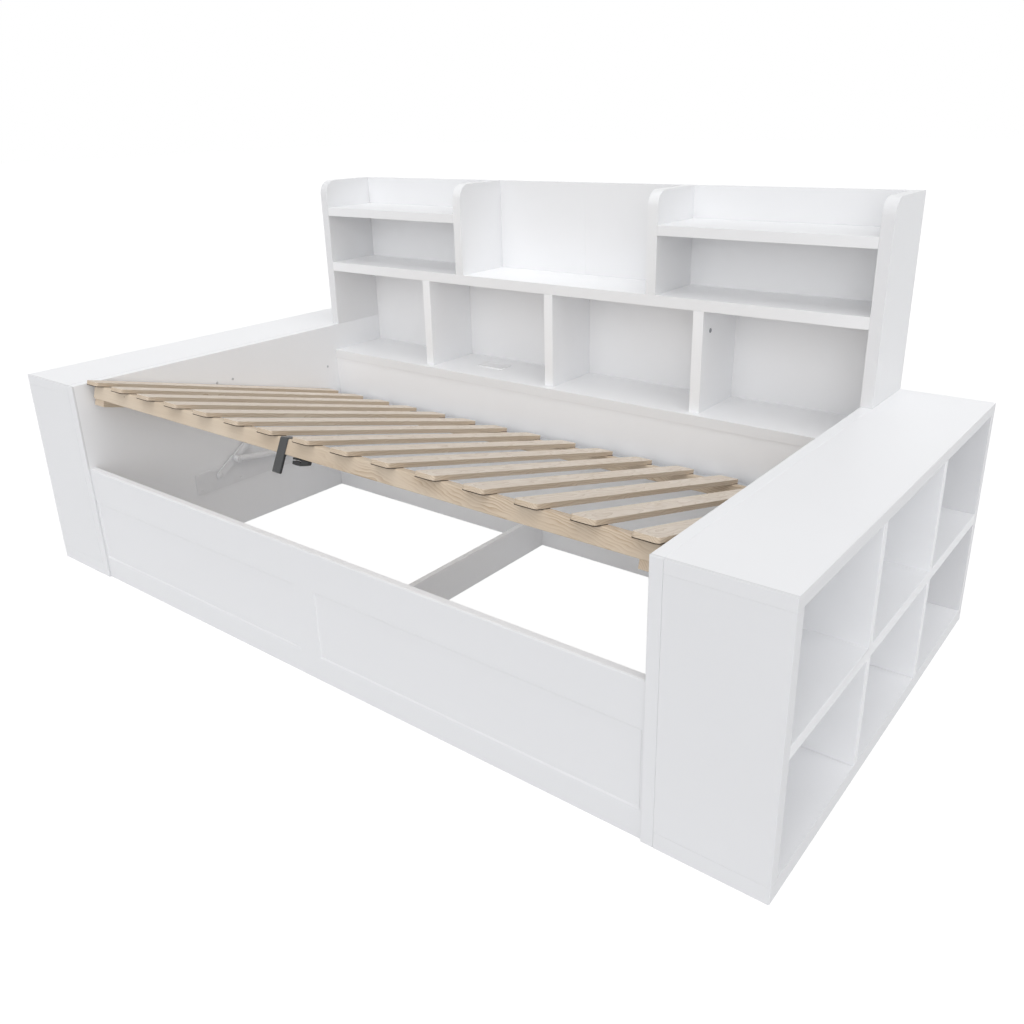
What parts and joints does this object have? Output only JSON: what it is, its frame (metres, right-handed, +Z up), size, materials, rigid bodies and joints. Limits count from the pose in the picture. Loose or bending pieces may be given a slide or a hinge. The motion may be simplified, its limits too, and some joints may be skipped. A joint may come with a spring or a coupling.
{
  "type": "storage sofa bed",
  "caption": "Storage daybed with open cubby cabinets as arms, a bookcase back with hutch shelves, a panelled front rail and a slatted base that lifts on gas struts.",
  "frame": {"origin": "the middle of the rectangle the bed covers on the floor, at floor level", "axes": "+X to the right along the bed seen from its open front, +Y to the bookcase, +Z up"},
  "size_m": [2.448, 1.2498, 1.1199],
  "materials": {
    "white_board": "satin white lacquer on board",
    "pine": "planed, unvarnished, matt",
    "webbing": "woven, matt",
    "white_steel": "white powder coat",
    "zinc_steel": "bright zinc plate"
  },
  "bodies": {
    "bed_frame": {"left_cabinet_bed_side": "white_board", "left_cabinet_top": "white_board", "left_cabinet_base": "white_board", "left_cabinet_front_end": "white_board", "left_cabinet_back_end": "white_board", "left_cabinet_cubby_grid": "white_board", "right_cabinet_bed_side": "white_board", "right_cabinet_top": "white_board", "right_cabinet_base": "white_board", "right_cabinet_front_end": "white_board", "right_cabinet_back_end": "white_board", "right_cabinet_cubby_grid": "white_board", "bookcase_cubby_floor": "white_board", "bookcase_face_board": "white_board", "bookcase_main_shelf": "white_board", "bookcase_divider_1": "white_board", "bookcase_divider_2": "white_board", "bookcase_divider_3": "white_board", "bookcase_side_left": "white_board", "bookcase_side_right": "white_board", "bookcase_hutch_panel_left": "white_board", "bookcase_hutch_panel_right": "white_board", "bookcase_top_shelf_left": "white_board", "bookcase_top_shelf_right": "white_board", "bookcase_back_left": "white_board", "bookcase_back_right": "white_board", "front_rail": "white_board", "rear_board": "white_board", "storage_divider": "white_board", "front_ledger": "pine", "hinge_fixed_leaf": "zinc_steel", "lift_plate_left": "white_steel", "lift_plate_right": "white_steel"},
    "slat_base": {"slat_01": "pine", "slat_02": "pine", "slat_03": "pine", "slat_04": "pine", "slat_05": "pine", "slat_06": "pine", "slat_07": "pine", "slat_08": "pine", "slat_09": "pine", "slat_10": "pine", "slat_11": "pine", "slat_12": "pine", "slat_13": "pine", "slat_14": "pine", "slat_15": "pine", "slat_base_front_beam": "pine", "slat_base_rear_beam": "pine", "slat_base_batten_left": "pine", "slat_base_batten_right": "pine", "hinge_moving_leaf": "zinc_steel", "pull_strap": "webbing"},
    "lift_arm_left": {"lift_arm_left": "white_steel"},
    "strut_rod_left": {"strut_rod_left": "zinc_steel"},
    "strut_cylinder_left": {"strut_cylinder_left": "white_steel"},
    "lift_arm_right": {"lift_arm_right": "white_steel"},
    "strut_rod_right": {"strut_rod_right": "zinc_steel"},
    "strut_cylinder_right": {"strut_cylinder_right": "white_steel"}
  },
  "joints": [
    {"name": "base_lift", "type": "hinge", "parent": "bed_frame", "child": "slat_base", "pos_m": [0, 0.315, 0.36095], "axis": [1, 0, 0], "range_deg": [0, 14.8], "deforming": ["pull_strap"]},
    {"name": "arm_pivot_left", "type": "hinge", "parent": "bed_frame", "child": "lift_arm_left", "pos_m": [-0.953, -0.185, 0.20495], "axis": [-1, 0, 0], "range_deg": [0, 14.8]},
    {"name": "strut_pivot_left", "type": "hinge", "parent": "bed_frame", "child": "strut_rod_left", "pos_m": [-0.936, 0.215, 0.20345], "axis": [1, 0, 0], "range_deg": [0, 2.95]},
    {"name": "strut_slide_left", "type": "slide", "parent": "strut_rod_left", "child": "strut_cylinder_left", "axis": [0, 0.9914, -0.1309], "range_m": [0, 0.0107]},
    {"name": "arm_pivot_right", "type": "hinge", "parent": "bed_frame", "child": "lift_arm_right", "pos_m": [0.953, -0.185, 0.20495], "axis": [-1, 0, 0], "range_deg": [0, 14.8]},
    {"name": "strut_pivot_right", "type": "hinge", "parent": "bed_frame", "child": "strut_rod_right", "pos_m": [0.936, 0.215, 0.20345], "axis": [1, 0, 0], "range_deg": [0, 2.95]},
    {"name": "strut_slide_right", "type": "slide", "parent": "strut_rod_right", "child": "strut_cylinder_right", "axis": [0, 0.9914, -0.1309], "range_m": [0, 0.0107]}
  ],
  "couplings": [
    {"joint": "arm_pivot_left", "follows": "base_lift", "ratio": 1},
    {"joint": "strut_pivot_left", "follows": "base_lift", "ratio": 0.19883},
    {"joint": "strut_slide_left", "follows": "base_lift", "m_per_rad": 0.04106},
    {"joint": "arm_pivot_right", "follows": "base_lift", "ratio": 1},
    {"joint": "strut_pivot_right", "follows": "base_lift", "ratio": 0.19883},
    {"joint": "strut_slide_right", "follows": "base_lift", "m_per_rad": 0.04106}
  ]
}
